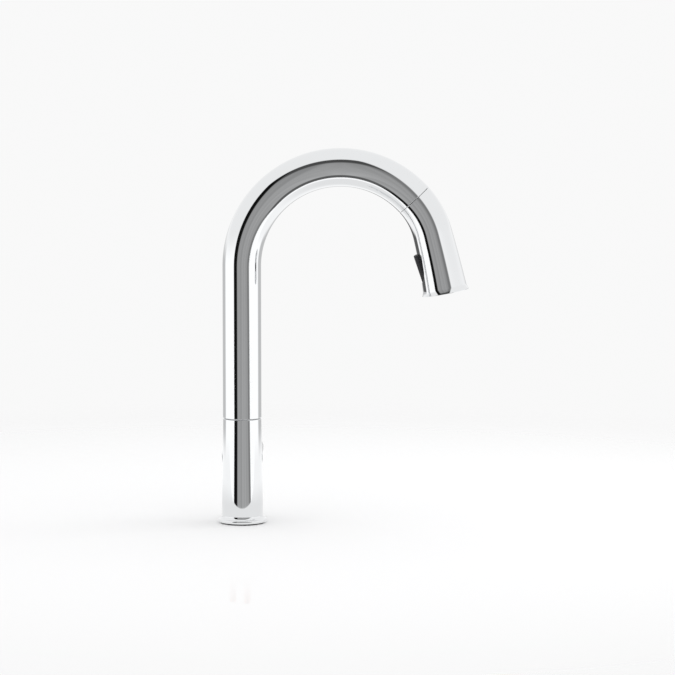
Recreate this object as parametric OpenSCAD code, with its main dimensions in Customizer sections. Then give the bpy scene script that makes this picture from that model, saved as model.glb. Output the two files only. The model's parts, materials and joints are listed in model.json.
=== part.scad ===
// Pull down kitchen faucet: single side lever, high arch spout, curved sprayhead with a spray toggle.
// Millimetres. +Z is up, +X is the way the spout reaches, +Y is the handle's side.
// The origin is on the body's axis, on top of the deck that the faucet stands on.

/* [Deck and shank] */
// Radius of the threaded shank that passes through the deck
shank_r = 16; // [15.5:0.1:16.2]
// Length of the shank below the deck
shank_len = 62; // [55:1:75]
// Deck thickness that the mounting nut is set for
deck_t = 20; // [12:1:24]
// Height of the rubber gasket under the base
gasket_h = 1.2; // [1:0.1:1.5]

/* [Body] */
// Largest radius of the flared base
flange_r = 25.85; // [25:0.05:27]
// Height of the flared base above the deck
flange_top = 8.3; // [8:0.1:9]
// Radius of the body just above the flare
body_low_r = 21.65; // [21.4:0.05:21.7]
// Radius of the body at the swivel seam
body_top_r = 20.05; // [20:0.05:20.15]
// Height of the seam where the spout turns on the body
seam_z = 111.2; // [110:0.1:112]

/* [Spout] */
// Outer radius of the spout tube
tube_r = 20.2; // [20.1:0.05:20.3]
// Wall of the spout tube
tube_wall = 1.65; // [1.4:0.05:1.7]
// Radius of the arch at the tube's centre
arch_r = 103.6; // [100:0.1:108]
// Height of the arch's centre
arch_z = 271.1; // [265:0.1:277]
// Angle of the docking seam above the arch's centre
dock_angle = 42.3; // [41:0.1:44]

/* [Sprayhead] */
// Length along the sprayhead's curved centreline
head_len = 104.3; // [103:0.1:106]
// Radius of the bend below the docking seam
bend_r = 86.2; // [84:0.1:88]
// Angle turned in that bend
bend_angle = 27.7; // [27:0.1:28]
// Lean of the spray face from level
face_tilt = 10.7; // [10:0.1:11.5]
// Radius of the sprayhead just above its lip
head_end_r = 23.4; // [23.2:0.05:23.6]
// Radius of the flared lip
lip_r = 24.9; // [24.6:0.05:25.2]
// Height of the flared lip
lip_h = 5.6; // [5:0.1:6]
// Wall of the sprayhead shell
head_wall = 1.9; // [1.7:0.1:2]

/* [Spray toggle] */
// Length of the toggle along the sprayhead
toggle_len = 30; // [29:0.5:31]
// Width of the toggle
toggle_w = 24; // [22:0.5:24.5]
// How far the raised end stands proud
toggle_proud = 3.2; // [3:0.1:3.6]

/* [Handle] */
// Height of the handle's axis
hub_z = 69; // [69:0.5:71]
// Radius of the handle's hub
hub_r = 21.8; // [21.6:0.1:22]
// Length of the lever above the hub
lever_len = 98; // [80:1:110]
// Outward lean of the closed lever
lever_lean = 8; // [6:1:10]

/* [Hidden] */
$fn = 96;

over = 1;                     // how far a cut runs past the face it opens
fit = 0.05;                   // radial clearance of a running fit
tube_in = tube_r - tube_wall;
shank_in = 13.6;
shank_top = 20;
body_in = 17.5;
neck_r = 14;
neck_in = 8;
bush_r = 16.5;
shank_relief = 0.5;           // step down in radius above the shank's free end
washer_t = 2;
nut_h = 9;
shank_free = shank_len - deck_t - washer_t - nut_h - 1;  // free thread below the nut
screw_count = 3;
line_r = 3.175;               // quarter inch water line
line_pitch = 10.2;            // distance of each line from the body's axis
line_end = -85;
line_push = 20;               // length of each line that a connector is pushed onto
line_relief = 0.4;            // step down in radius above that length
manifold_z = 21.5;
body_seat = seam_z - 0.6;     // flat top of the body
spout_low = seam_z + 0.25;    // lower end of the spout
hose_r = 6.2;
hose_tail = -48;

// axial stations of the valve, measured from the body's axis along +Y
collar_end = 33;
pivot_y = 27;
chamber_floor = 12.5;
cartridge_top = 26.5;
disc_low = 14.8;
disc_t = 3;
dome_r = 18;
stem_lean = 12.5;             // the stem swings this much to each side of the valve's axis
stem_r = 3;
lever_root_r = 4.8;
lever_seat = 18.2;            // how far from the handle's axis the lever's root sits
ball_reach = 6.2;             // from the stem's pivot down to the ball that drives the disc

// docking seam and sprayhead
dock_x = arch_r + arch_r * cos(dock_angle);
dock_z = arch_z + arch_r * sin(dock_angle);
spigot_r = 11.7;
dock_bore = 12;
bend_len = bend_r * bend_angle * PI / 180;
slow_angle = dock_angle - bend_angle - face_tilt;
slow_r = (head_len - bend_len) / (slow_angle * PI / 180);
face_r = head_end_r - head_wall - 0.35;  // the spray face, inside the shell
toggle_at = 74;               // the toggle's middle, along the centreline
toggle_surface = head_radius(toggle_at);
toggle_slope = atan(toggle_proud / toggle_len);
toggle_axis = toggle_surface - 1.2;
spool_shift = -9;             // the spool's place along the toggle, towards the seam

// route of the hose inside the faucet, from its tail up through the riser and over the arch: x and z
hose_route = [
  [0, -48], [0, -20], [0, 20], [0, 60], [0, 100], [0, 150], [2, 180], [4, 210], [7, 240], [10, 265],
  [12, 285], [18, 305], [28, 325.2], [40, 342.2], [55, 356.7], [70, 367.2], [85, 373.7], [100, 377],
  [116, 377.8], [134, 375.4], [150.5, 368.2], [160, 362.7], [166.9, 355.4]];

// ---- shapes shared by several pieces ----

// tube or ring about Z between two heights
module ring(r_out, r_in, z0, z1) {
  translate([0, 0, z0])
    difference() {
      cylinder(r = r_out, h = z1 - z0);
      translate([0, 0, -over])
        cylinder(r = r_in, h = z1 - z0 + 2 * over);
    }
}

// O-ring about Z
module o_ring(r, thick, z) {
  translate([0, 0, z])
    rotate_extrude()
      translate([r, 0])
        circle(r = thick, $fn = 24);
}

// places children with their Z along the handle's axis, Z = 0 on the body's axis
module at_hub() {
  translate([0, 0, hub_z])
    rotate([-90, 0, 0])
      children();
}

// places children at the stem's pivot with Z along the tilted stem
module at_stem() {
  translate([0, pivot_y, hub_z])
    rotate([stem_lean - 90, 0, 0])
      children();
}

// places children at the docking seam: Z out of the spout, X towards the inner side of the arch
module at_dock() {
  translate([dock_x, 0, dock_z])
    rotate([0, 180 - dock_angle, 0])
      children();
}

// places children on the sprayhead's centreline at a distance s from the seam
module at_head(s) {
  translate([head_x(s), 0, head_z(s)])
    rotate([0, 180 - head_angle(s), 0])
      children();
}

// part of the arch's torus between two angles, with a round section
module arch_arc(r_out, from, to) {
  translate([arch_r, 0, arch_z])
    rotate([90, 0, 0])
      rotate_extrude(angle = to - from, start = from)
        translate([arch_r, 0])
          circle(r = r_out);
}

// two triangles between neighbouring points k of ring a and ring b, each ring of count points
function patch(a, b, k, count) = let (m = (k + 1) % count) [
  [a * count + k, a * count + m, b * count + m],
  [a * count + k, b * count + m, b * count + k]];

// solid that joins a list of rings, each a list of the same number of points
module loft(rings) {
  count = len(rings[0]);
  last = len(rings) - 1;
  points = [for (r = rings) for (p = r) p];
  sides = [for (i = [0:last - 1]) for (k = [0:count - 1]) for (f = patch(i, i + 1, k, count)) f];
  start = [for (k = [count - 1:-1:0]) k];
  end = [for (k = [0:count - 1]) last * count + k];
  polyhedron(points = points, faces = concat(sides, [start], [end]), convexity = 6);
}

// hollow wall whose outer rings run one way and whose inner rings run back to the first
module loft_wall(outer, inner) {
  count = len(outer[0]);
  back = [for (i = [len(inner) - 1:-1:0]) inner[i]];
  rings = concat(outer, back);
  total = len(rings);
  points = [for (r = rings) for (p = r) p];
  sides = [for (i = [0:total - 1]) for (k = [0:count - 1])
    for (f = patch(i, (i + 1) % total, k, count)) f];
  polyhedron(points = points, faces = sides, convexity = 8);
}

// ---- the sprayhead's centreline: a bend, then a slower bend down to the face ----

function head_angle(s) = s < bend_len
  ? dock_angle - s / bend_r * 180 / PI
  : dock_angle - bend_angle - (s - bend_len) / slow_r * 180 / PI;
function head_x(s) = s < bend_len
  ? dock_x + bend_r * (cos(head_angle(s)) - cos(dock_angle))
  : head_x(bend_len - 0.001) + slow_r * (cos(head_angle(s)) - cos(dock_angle - bend_angle));
function head_z(s) = s < bend_len
  ? dock_z - bend_r * (sin(dock_angle) - sin(head_angle(s)))
  : head_z(bend_len - 0.001) - slow_r * (sin(dock_angle - bend_angle) - sin(head_angle(s)));
function head_radius(s) = tube_r + (head_end_r - tube_r) * pow(s / head_len, 2);
function flare(s) = s < head_len - lip_h
  ? 0
  : (lip_r - head_end_r) * pow((s - head_len + lip_h) / lip_h, 1.8);

// circle of points across the sprayhead at s
function head_ring(s, r, count) = [for (k = [0:count - 1])
  [head_x(s) - r * cos(360 * k / count) * cos(head_angle(s)),
   r * sin(360 * k / count),
   head_z(s) - r * cos(360 * k / count) * sin(head_angle(s))]];

// ---- the hose's curve through its route ----

function curve_point(a, b, c, d, t) = 0.5 * (2 * b + (c - a) * t
  + (2 * a - 5 * b + 4 * c - d) * t * t + (3 * b - a - 3 * c + d) * t * t * t);
function hose_at(u) = let (n = len(hose_route) - 1, i = min(floor(u), n - 1))
  curve_point(hose_route[max(i - 1, 0)], hose_route[i], hose_route[i + 1],
    hose_route[min(i + 2, n)], u - i);
function hose_ring(u, r, count) = let (
    n = len(hose_route) - 1,
    p = hose_at(u),
    ahead = hose_at(min(u + 0.05, n)) - hose_at(max(u - 0.05, 0)),
    t = ahead / norm(ahead))
  [for (k = [0:count - 1])
    [p[0] - r * cos(360 * k / count) * t[1], r * sin(360 * k / count),
     p[1] + r * cos(360 * k / count) * t[0]]];

// ---- below and at the deck ----

module threaded_shank() {
  color("goldenrod") {
    ring(shank_r, shank_in, -shank_len, -shank_len + shank_free);
    ring(shank_r - shank_relief, shank_in, -shank_len + shank_free, shank_top);
  }
}

module mounting_washer() {
  color("silver")
    ring(25, shank_r + 0.4, -deck_t - washer_t, -deck_t);
}

module nut_places() {
  for (k = [0:screw_count - 1])
    rotate([0, 0, k * 360 / screw_count])
      translate([20.6, 0, -deck_t - washer_t])
        children();
}

module mounting_nut() {
  color("goldenrod")
    difference() {
      translate([0, 0, -deck_t - washer_t - nut_h])
        cylinder(r = 25, h = nut_h, $fn = 6);
      translate([0, 0, -deck_t - washer_t - nut_h - over])
        cylinder(r = shank_r - shank_relief, h = nut_h + 2 * over);
      nut_places()
        translate([0, 0, -nut_h - over])
          cylinder(r = 2.1, h = nut_h + 2 * over);
    }
}

module nut_clamp_screws() {
  color("silver")
    nut_places()
      translate([0, 0, -nut_h - 4]) {
        cylinder(r = 2.1, h = nut_h + 4);
        cylinder(r = 3.6, h = 3.2);
      }
}

module deck_gasket() {
  color("black")
    ring(23.2, shank_r + 0.4, 0, gasket_h);
}

module base_flange() {
  cove = 3.8;
  bead = 1.95;
  bead_r = flange_r - bead;
  bead_z = 3.2;
  cove_arc = [for (a = [180:10:250])
    [body_low_r + 0.05 + cove + cove * cos(a), flange_top + cove * sin(a)]];
  bead_arc = [for (a = [55:-12.5:-70]) [bead_r + bead * cos(a), bead_z + bead * sin(a)]];
  color("gainsboro")
    rotate_extrude()
      polygon(concat([[shank_r + 0.4, gasket_h], [shank_r + 0.4, flange_top]], cove_arc, bead_arc,
        [[bead_r, gasket_h]]));
}

// ---- body ----

module body_shell() {
  edge = 0.5;
  neck_floor = seam_z - 12;
  color("gainsboro")
    difference() {
      union() {
        rotate_extrude()
          polygon([
            [body_low_r, flange_top], [body_low_r, 20], [body_top_r, body_seat - edge],
            [body_top_r - edge, body_seat], [neck_r, body_seat], [neck_r, neck_floor],
            [body_in, neck_floor], [body_in, shank_top + 0.5],
            [shank_r - shank_relief, shank_top + 0.5], [shank_r - shank_relief, flange_top]]);
        at_hub()
          cylinder(r = hub_r, h = collar_end);
      }
      translate([0, 0, shank_top + 0.5])
        cylinder(r = body_in, h = neck_floor - shank_top - 0.5);
      at_hub()
        translate([0, 0, 5])
          cylinder(r = dome_r + 0.2, h = collar_end);
    }
}

module valve_manifold() {
  plate_h = 11.5;
  chamber_r = 14.05;
  nut_bore = 16.05;
  cup_end = 31;
  color("goldenrod")
    difference() {
      union() {
        translate([0, 0, manifold_z])
          cylinder(r = body_in - 0.2, h = plate_h);
        intersection() {
          translate([0, 0, manifold_z])
            cylinder(r = body_in - 0.2, h = hub_z - manifold_z);
          translate([-body_in, 9.5, manifold_z])
            cube([2 * body_in, body_in, hub_z - manifold_z]);
        }
        at_hub()
          translate([0, 0, 9.5])
            cylinder(r = dome_r, h = cup_end - 9.5);
      }
      translate([0, 0, manifold_z - over])
        cylinder(r = hose_r + 0.8, h = plate_h + 2 * over);
      for (a = [60, 180, 300])
        rotate([0, 0, a])
          translate([line_pitch, 0, manifold_z - over])
            cylinder(r = line_r - line_relief, h = 8 + over);
      at_hub() {
        translate([0, 0, chamber_floor])
          cylinder(r = chamber_r, h = cup_end);
        translate([0, 0, cartridge_top - 1.5])
          cylinder(r = nut_bore, h = cup_end);
        for (x = [-6, 6])
          translate([x, 0, 9])
            cylinder(r = 2, h = 4, $fn = 32);
      }
    }
}

// rigid water line from the manifold down through the shank, at an angle about the body's axis
module water_line(angle) {
  color("chocolate")
    rotate([0, 0, angle])
      translate([line_pitch, 0, 0]) {
        ring(line_r, 2, line_end, line_end + line_push);
        ring(line_r - line_relief, 2, line_end + line_push, manifold_z + 8);
      }
}

module hot_inlet_tube() {
  water_line(300);
}

module cold_inlet_tube() {
  water_line(60);
}

module outlet_tube() {
  water_line(180);
}

// ---- valve cartridge ----

module cartridge_body() {
  color("whitesmoke")
    at_hub()
      difference() {
        translate([0, 0, chamber_floor + 0.3])
          cylinder(r = 13.95, h = cartridge_top - chamber_floor - 0.3);
        translate([0, 0, disc_low])
          cylinder(r = 11.2, h = 9.7);
        translate([0, 0, disc_low])
          cylinder(r = 7.5, h = cartridge_top);
        for (x = [-6, 6])
          translate([x, 0, chamber_floor])
            cylinder(r = 2, h = 4, $fn = 32);
      }
}

module port_seals() {
  color("black")
    at_hub()
      for (x = [-6, 6])
        translate([x, 0, 0])
          ring(3.4, 2.1, chamber_floor, chamber_floor + 0.3);
}

module fixed_disc() {
  color("ivory")
    at_hub()
      difference() {
        translate([0, 0, disc_low])
          cylinder(r = 11.1, h = disc_t);
        for (x = [-6, 6])
          translate([x, 0, disc_low - over])
            cylinder(r = 2, h = disc_t + 2 * over, $fn = 32);
      }
}

module moving_disc() {
  rest = ball_reach * sin(stem_lean);
  color("ivory")
    at_hub()
      translate([0, rest, disc_low + disc_t + fit])
        difference() {
          cylinder(r = 9, h = disc_t);
          translate([0, 0, 0.8])
            cylinder(r = 2.4, h = disc_t, $fn = 32);
        }
}

module cartridge_carrier() {
  low = disc_low + 2 * disc_t + 0.2;
  shoulder = 24.4;
  color("dimgray")
    difference() {
      at_hub() {
        translate([0, 0, low])
          cylinder(r = 11.1, h = shoulder - low);
        translate([0, 0, shoulder])
          cylinder(r = 7.4, h = 30 - shoulder);
      }
      at_hub()
        translate([-stem_r - 0.3, -6, low - over])
          cube([2 * stem_r + 0.6, 12, 12]);
      at_hub()
        translate([-10, 0, pivot_y])
          rotate([0, 90, 0])
            cylinder(r = 1.25, h = 20);
    }
}

module stem_pin() {
  color("silver")
    at_hub()
      translate([-7, 0, pivot_y])
        rotate([0, 90, 0])
          cylinder(r = 1.25, h = 14);
}

module cartridge_stem() {
  color("silver")
    difference() {
      at_stem() {
        translate([0, 0, -ball_reach])
          sphere(r = 2, $fn = 48);
        translate([0, 0, -ball_reach])
          cylinder(r = 1.5, h = ball_reach);
        translate([0, 0, -3])
          cylinder(r = stem_r, h = 26);
      }
      translate([-10, pivot_y, hub_z])
        rotate([0, 90, 0])
          cylinder(r = 1.25 + fit, h = 20);
    }
}

module retaining_nut() {
  color("goldenrod")
    at_hub()
      difference() {
        union() {
          translate([0, 0, cartridge_top])
            cylinder(r = 16, h = 4.3);
          translate([0, 0, cartridge_top + 4.3])
            cylinder(r = 14, h = 4, $fn = 6);
        }
        translate([0, 0, cartridge_top - over])
          cylinder(r = 10.5, h = 12);
      }
}

module bonnet_dome() {
  color("gainsboro")
    at_hub()
      difference() {
        translate([0, 0, pivot_y])
          sphere(r = dome_r);
        translate([0, 0, pivot_y])
          sphere(r = dome_r - 1.3);
        translate([0, 0, -over])
          cylinder(r = 2 * dome_r, h = 31.2 + over);
        translate([0, 0, pivot_y])
          cylinder(r = 8.8, h = 2 * dome_r);
      }
}

// ---- handle ----

module handle_hub() {
  front = 56;
  edge = 3;
  rim_slope = 13.9;
  rim_top = collar_end + 0.6;
  color("gainsboro")
    difference() {
      at_hub()
        rotate_extrude()
          polygon(concat([[0, collar_end], [hub_r, collar_end]],
            [for (a = [0:15:90]) [hub_r - edge + edge * cos(a), front - edge - 1 + edge * sin(a)]],
            [[0, front]]));
      translate([0, pivot_y, hub_z])
        sphere(r = dome_r + 0.6);
      translate([-2 * hub_r, rim_top, hub_z + hub_r])
        rotate([rim_slope, 0, 0])
          translate([0, -20, -3 * hub_r])
            cube([4 * hub_r, 20, 4 * hub_r]);
      at_stem()
        cylinder(r = stem_r, h = 23);
      translate([0, pivot_y + 18, hub_z])
        rotate([-lever_lean, 0, 0]) {
          translate([0, 0, 12])
            cylinder(r = 3.4, h = hub_r);
          translate([0, 0, lever_seat])
            cylinder(r = lever_root_r + fit, h = hub_r);
        }
      at_stem()
        translate([0, 0, 20])
          rotate([-90, 0, 0])
            cylinder(r = 2.5, h = 2 * hub_r);
    }
}

module handle_lever() {
  tip_r = 3.7;
  top = hub_r + lever_len;
  color("gainsboro")
    translate([0, pivot_y + 18, hub_z])
      rotate([-lever_lean, 0, 0]) {
        translate([0, 0, 12])
          cylinder(r = 3.4, h = lever_seat - 12);
        rotate_extrude()
          polygon(concat([[0, lever_seat], [lever_root_r, lever_seat], [lever_root_r, hub_r + 10]],
            [for (a = [0:15:90]) [tip_r * cos(a), top - tip_r + tip_r * sin(a)]]));
      }
}

module handle_set_screw() {
  color("dimgray")
    at_stem()
      translate([0, 0, 20])
        rotate([-90, 0, 0])
          translate([0, 0, stem_r])
            difference() {
              cylinder(r = 2.45, h = 10);
              translate([0, 0, 7])
                cylinder(r = 1.4, h = 4, $fn = 6);
            }
}

module handle_plug() {
  color("gray")
    at_stem()
      translate([0, 0, 20])
        rotate([-90, 0, 0])
          translate([0, 0, 13.5])
            cylinder(r = 2.45, h = 2.2);
}

// ---- swivel ----

module swivel_neck() {
  clip_z = 147.4;
  color("goldenrod")
    difference() {
      union() {
        ring(neck_r, neck_in, seam_z - 18, 151);
        ring(body_in - 0.3, neck_in, seam_z - 18, seam_z - 12);
      }
      ring(neck_r + 2, neck_r - 1, clip_z, clip_z + 1.2);
    }
}

module swivel_bush_lower() {
  color("white")
    ring(bush_r, neck_r, 114, 122);
}

module swivel_bush_upper() {
  color("white")
    ring(bush_r, neck_r, 138, 146);
}

module friction_rings() {
  color("black") {
    o_ring(15.25, 1.2, 126);
    o_ring(15.25, 1.2, 134);
  }
}

module thrust_washer() {
  color("dimgray")
    ring(19.2, neck_r + 0.2, body_seat, spout_low - fit);
}

module retaining_clip() {
  color("silver")
    difference() {
      ring(16.1, neck_r - 1, 147.4, 148.6);
      translate([12, -2, 147])
        cube([6, 4, 3]);
    }
}

// ---- spout ----

module spout_sleeve() {
  color("goldenrod") {
    ring(tube_in, bush_r + fit, spout_low + 0.2, 146.3);
    ring(tube_in, neck_r + 0.25, 146.3, 147.1);
    ring(tube_in, bush_r + fit, 147.1, 152);
  }
}

module spout_tube() {
  edge = 0.5;
  color("gainsboro")
    difference() {
      union() {
        rotate_extrude()
          polygon([[0, spout_low], [tube_r - edge, spout_low], [tube_r, spout_low + edge],
            [tube_r, arch_z], [0, arch_z]]);
        arch_arc(tube_r, dock_angle, 180);
      }
      translate([0, 0, spout_low - over])
        cylinder(r = tube_in, h = arch_z - spout_low + over);
      arch_arc(tube_in, dock_angle - 1, 180);
    }
}

module docking_collar() {
  color("black")
    difference() {
      arch_arc(tube_in, dock_angle + 0.4, dock_angle + 12);
      at_dock()
        translate([0, 0, -40])
          cylinder(r = dock_bore, h = 60);
      at_dock()
        ring(16.8, dock_bore + 1, -6, -2.5);
    }
}

module docking_magnet() {
  color("dimgray")
    at_dock()
      ring(16.8, dock_bore + 1, -6, -2.5);
}

// ---- hose ----

module pull_down_hose() {
  steps = 3;
  count = len(hose_route) - 1;
  color("silver")
    loft([for (i = [0:count * steps]) hose_ring(i / steps, hose_r, 12)]);
}

module hose_end_fitting() {
  color("goldenrod")
    at_dock()
      difference() {
        union() {
          translate([0, 0, -19.6])
            cylinder(r = 6.8, h = 5.2);
          translate([0, 0, -14.4])
            cylinder(r = 4.9, h = 12.4);
        }
        translate([0, 0, -25])
          cylinder(r = 3.4, h = 30, $fn = 32);
      }
}

module hose_tail_connector() {
  color("goldenrod")
    ring(6.5, 3.4, hose_tail - 16, hose_tail);
}

// ---- sprayhead ----

// rings of the sprayhead's outer surface, from its rim at the seam to the edge of the lip
function head_outer_rings() = let (steps = 22, rim = 0.35, lip_from = head_len - lip_h) concat(
  [for (i = [0:steps]) let (s = rim + (lip_from - rim) * i / steps) head_ring(s, head_radius(s), 40)],
  [for (i = [1:4]) let (s = lip_from + (lip_h - 0.8) * i / 4)
    head_ring(s, head_radius(s) + flare(s + 0.8 * i / 4), 40)],
  [head_ring(head_len, lip_r, 40)]);

// rings of its inner surface
function head_inner_rings() = let (steps = 14, rim = 0.35) [for (i = [0:steps])
  let (s = rim + (head_len - rim) * i / steps) head_ring(s, head_radius(s) - head_wall, 40)];

// outline of the toggle, X towards the seam: square corners above, a half round below
module toggle_outline(grow) {
  half = toggle_w / 2;
  corner = 2;
  flat = toggle_len - half - corner;
  translate([half - toggle_len / 2, 0])
    circle(r = half + grow);
  translate([half - toggle_len / 2, -half - grow])
    square([flat, toggle_w + 2 * grow]);
  translate([half - toggle_len / 2, corner - half])
    square([flat + corner + grow, toggle_w - 2 * corner]);
  for (side = [-1, 1])
    translate([half - toggle_len / 2 + flat, side * (half - corner)])
      circle(r = corner + grow, $fn = 32);
}

// the outline pushed outwards through the sprayhead's inner side, between two distances from its axis
module toggle_block(grow, low, high) {
  at_head(toggle_at)
    translate([low, 0, 0])
      rotate([0, 90, 0])
        linear_extrude(height = high - low)
          rotate([0, 0, 180])
            mirror([1, 0])
              toggle_outline(grow);
}

module head_shell() {
  color("gainsboro")
    difference() {
      loft_wall(head_outer_rings(), head_inner_rings());
      toggle_block(0.45, toggle_surface - 8, toggle_surface + 8);
    }
}

module docking_plug() {
  color("black")
    at_dock()
      difference() {
        union() {
          translate([0, 0, -14])
            cylinder(r = spigot_r, h = 15.2);
          translate([0, 0, 1.2])
            cylinder(r = 17.9, h = 5.3);
        }
        translate([0, 0, -20])
          cylinder(r = 4.95, h = 40);
      }
}

module head_magnet_plate() {
  color("silver")
    at_dock()
      ring(16.8, spigot_r + 0.5, 0.5, 1.2);
}

module check_valve() {
  color("white")
    at_dock()
      ring(4.9, 2.6, -1.6, 6.4);
}

module head_waterway() {
  color("gray")
    loft_wall([for (i = [0:12]) head_ring(7.6 + 47.1 * i / 12, 8, 20)],
      [for (i = [0:12]) head_ring(7.6 + 47.1 * i / 12, 5.2, 20)]);
}

module diverter_barrel() {
  color("gray")
    at_head(toggle_at)
      difference() {
        translate([0, 0, -18.5])
          cylinder(r = 9.4, h = 31);
        translate([0, 0, -20])
          cylinder(r = 5.2, h = 9);
        translate([0, 0, -3])
          cylinder(r = 5.2, h = 20);
        translate([-6, 0, spool_shift])
          rotate([0, 90, 0])
            cylinder(r = 3.05, h = 20);
      }
}

module diverter_spool() {
  tip = toggle_surface - 5;
  color("white")
    at_head(toggle_at)
      translate([0, 0, spool_shift])
        rotate([0, 90, 0]) {
          translate([0, 0, 8.6])
            cylinder(r = 1.6, h = tip - 8.6);
          difference() {
            translate([0, 0, -2.5])
              cylinder(r = 3, h = 11.1);
            for (x = [-1, 5.6])
              ring(4, 2.2, x, x + 1.4);
          }
        }
}

module spool_seals() {
  color("black")
    at_head(toggle_at)
      translate([0, 0, spool_shift])
        rotate([0, 90, 0])
          for (x = [-1, 5.6])
            ring(3, 2.2, x + 0.1, x + 1.3);
}

module toggle_frame() {
  floor_at = toggle_surface - 10.6;
  rim = 1.2;
  color("black")
    difference() {
      intersection() {
        union() {
          difference() {
            toggle_block(0.5 + rim, floor_at, toggle_surface);
            toggle_block(0.5, floor_at + 1.5, toggle_surface + 1);
          }
          at_head(toggle_at)
            for (side = [-1, 1])
              translate([floor_at, side * 4.2 - 1, -1.9])
                cube([toggle_axis + 1.6 - floor_at, 2, 3.8]);
        }
        at_head(toggle_at)
          union() {
            cylinder(r = toggle_surface - 2.7, h = 80, center = true);
            translate([0, -6, -3])
              cube([toggle_surface + 2, 12, 6]);
          }
      }
      at_head(toggle_at) {
        translate([toggle_axis, 0, 0])
          rotate([90, 0, 0])
            cylinder(r = 1, h = 20, center = true);
        translate([0, 0, spool_shift])
          rotate([0, 90, 0])
            cylinder(r = 1.9, h = 40);
      }
    }
}

module toggle_pin() {
  color("silver")
    at_head(toggle_at)
      translate([toggle_axis, 0, 0])
        rotate([90, 0, 0])
          cylinder(r = 1, h = 10.4, center = true);
}

module spray_toggle() {
  underside = toggle_surface - 4.2;
  color("black")
    difference() {
      intersection() {
        toggle_block(0, underside, toggle_surface + 8);
        at_head(toggle_at)
          rotate([0, -toggle_slope, 0])
            cylinder(r = toggle_surface + toggle_proud / 2, h = 90, center = true);
        at_head(toggle_at)
          translate([toggle_axis, 0, 0])
            rotate([90, 0, 0])
              cylinder(r = toggle_len / 2 - 0.2, h = 60, center = true);
      }
      at_head(toggle_at) {
        translate([toggle_axis, 0, 0])
          rotate([90, 0, 0])
            cylinder(r = 1 + fit, h = 12, center = true);
        for (side = [-1, 1])
          translate([underside - over, side * 4.2 - 1.4, -4.2])
            cube([toggle_axis + 2.4 - underside + over, 2.8, 8.4]);
      }
    }
}

// ---- spray face, placed from the middle of the lip ----

module nozzle_places() {
  rows = [[24, face_r - 3.5], [18, face_r - 7.2]];
  for (row = rows)
    for (k = [0:row[0] - 1])
      rotate([0, 0, k * 360 / row[0]])
        translate([row[1], 0, 0])
          children();
}

module face_housing() {
  color("gray")
    at_head(head_len)
      difference() {
        union() {
          translate([0, 0, -11])
            cylinder(r = face_r - 0.6, h = 8.4);
          translate([0, 0, -13.4])
            cylinder(r = 8, h = 3);
        }
        translate([0, 0, -9])
          cylinder(r = face_r - 1.8, h = 10);
        translate([0, 0, -15])
          cylinder(r = 4.5, h = 10);
      }
}

module spray_face() {
  color("darkslategray")
    at_head(head_len)
      difference() {
        translate([0, 0, -2.6])
          cylinder(r = face_r, h = 1.6);
        translate([0, 0, -4])
          cylinder(r = 8, h = 5);
        nozzle_places()
          translate([0, 0, -4])
            cylinder(r = 0.95, h = 5, $fn = 24);
      }
}

module spray_nozzles() {
  color("dimgray")
    at_head(head_len) {
      ring(face_r - 1.9, 10, -3.6, -2.7);
      nozzle_places()
        translate([0, 0, -2.8])
          cylinder(r = 0.95, h = 2.6, $fn = 24);
    }
}

module aerator() {
  color("whitesmoke")
    at_head(head_len)
      difference() {
        translate([0, 0, -8])
          cylinder(r = 7.9, h = 7.4);
        translate([0, 0, -2])
          cylinder(r = 6.6, h = 3);
        for (k = [0:7])
          rotate([0, 0, k * 45])
            translate([4.4, 0, -9])
              cylinder(r = 1.1, h = 9, $fn = 24);
      }
}

threaded_shank();
mounting_washer();
mounting_nut();
nut_clamp_screws();
deck_gasket();
base_flange();
body_shell();
valve_manifold();
hot_inlet_tube();
cold_inlet_tube();
outlet_tube();
cartridge_body();
port_seals();
fixed_disc();
moving_disc();
cartridge_carrier();
stem_pin();
cartridge_stem();
retaining_nut();
bonnet_dome();
handle_hub();
handle_lever();
handle_set_screw();
handle_plug();
swivel_neck();
swivel_bush_lower();
swivel_bush_upper();
friction_rings();
thrust_washer();
retaining_clip();
spout_sleeve();
spout_tube();
docking_collar();
docking_magnet();
pull_down_hose();
hose_end_fitting();
hose_tail_connector();
head_shell();
docking_plug();
head_magnet_plate();
check_valve();
head_waterway();
diverter_barrel();
diverter_spool();
spool_seals();
toggle_frame();
toggle_pin();
spray_toggle();
face_housing();
spray_face();
spray_nozzles();
aerator();
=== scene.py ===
import json
import math

import bmesh
import bpy
from mathutils import Matrix, Vector


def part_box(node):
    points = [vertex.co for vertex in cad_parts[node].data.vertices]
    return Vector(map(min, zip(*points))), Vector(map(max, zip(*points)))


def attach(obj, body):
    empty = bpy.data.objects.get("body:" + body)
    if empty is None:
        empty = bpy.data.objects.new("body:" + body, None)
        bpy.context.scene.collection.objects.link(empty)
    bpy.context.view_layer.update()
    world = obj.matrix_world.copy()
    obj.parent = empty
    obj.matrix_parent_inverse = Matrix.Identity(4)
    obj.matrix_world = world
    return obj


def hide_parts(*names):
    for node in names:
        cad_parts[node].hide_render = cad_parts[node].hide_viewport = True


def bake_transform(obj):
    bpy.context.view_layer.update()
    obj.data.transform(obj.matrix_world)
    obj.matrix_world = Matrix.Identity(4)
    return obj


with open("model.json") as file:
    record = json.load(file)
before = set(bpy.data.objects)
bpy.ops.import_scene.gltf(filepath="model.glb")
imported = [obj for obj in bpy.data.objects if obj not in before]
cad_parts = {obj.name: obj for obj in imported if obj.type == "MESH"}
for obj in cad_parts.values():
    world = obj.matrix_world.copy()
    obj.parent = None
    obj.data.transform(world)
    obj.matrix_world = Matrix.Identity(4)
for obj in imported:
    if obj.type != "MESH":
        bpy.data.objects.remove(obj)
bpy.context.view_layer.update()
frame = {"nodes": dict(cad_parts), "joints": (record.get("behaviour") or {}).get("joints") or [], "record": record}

MM = 0.001
TAU = 2 * math.pi
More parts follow.
